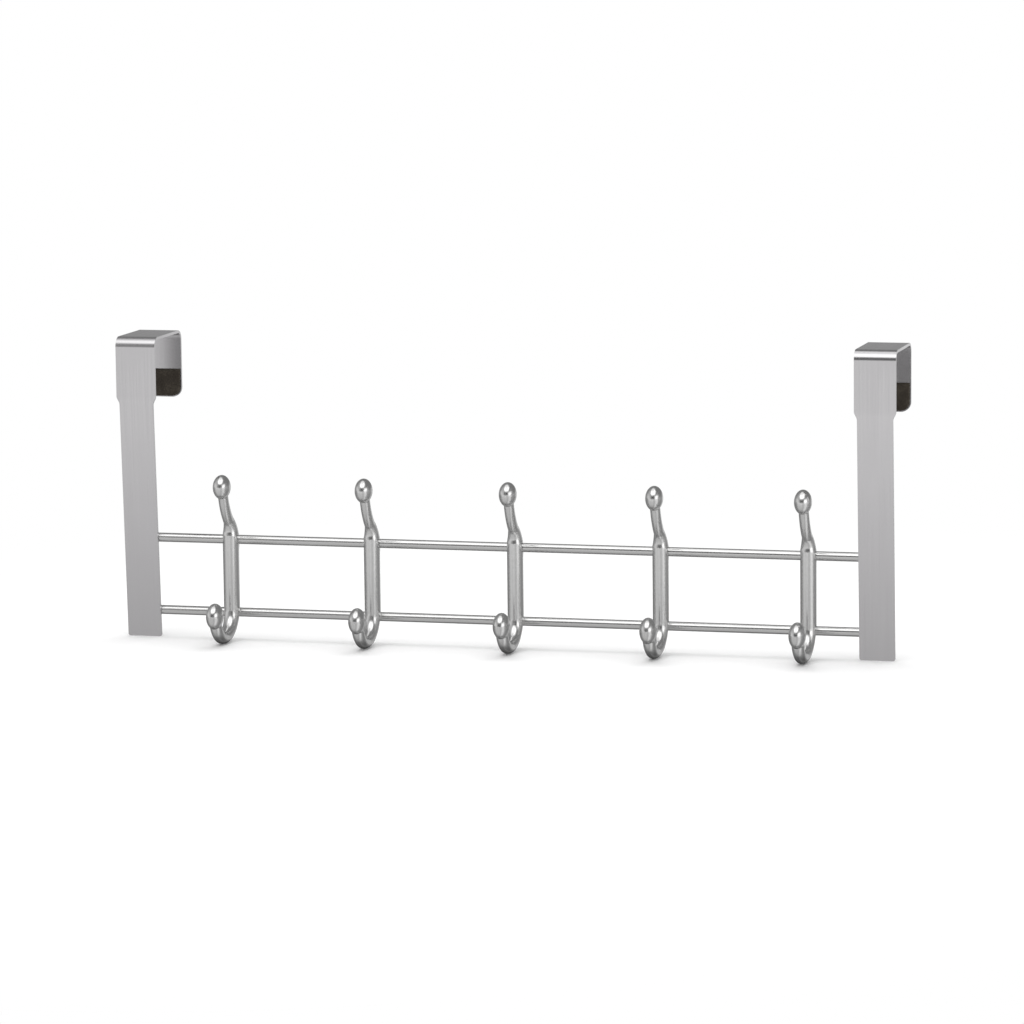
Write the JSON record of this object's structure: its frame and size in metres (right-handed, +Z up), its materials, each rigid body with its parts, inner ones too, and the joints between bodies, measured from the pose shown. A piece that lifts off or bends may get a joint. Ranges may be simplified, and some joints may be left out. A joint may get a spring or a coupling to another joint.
{
  "type": "over door hook rack",
  "caption": "Rack that hangs over the top of a door: bent sheet brackets carry round rods with a row of cast double hooks.",
  "frame": {"origin": "midway between the brackets, on the line where the top of the door meets its front face: the underside of the webs at the inner face of the heads", "axes": "+X along the rods, +Y back through the door, away from the hooks, +Z up"},
  "size_m": [0.432, 0.0779, 0.166],
  "materials": {
    "bracket_steel": "fine brushed stainless sheet",
    "rod_steel": "satin nickel plated round bar",
    "hook_casting": "satin nickel plated zinc casting",
    "pad_foam": "matt soft foam"
  },
  "bodies": {
    "root": {"left_bracket": "bracket_steel", "right_bracket": "bracket_steel", "upper_rod": "rod_steel", "lower_rod": "rod_steel", "left_pad": "pad_foam", "right_pad": "pad_foam", "hook_1": "hook_casting", "hook_2": "hook_casting", "hook_3": "hook_casting", "hook_4": "hook_casting", "hook_5": "hook_casting"}
  },
  "joints": []
}
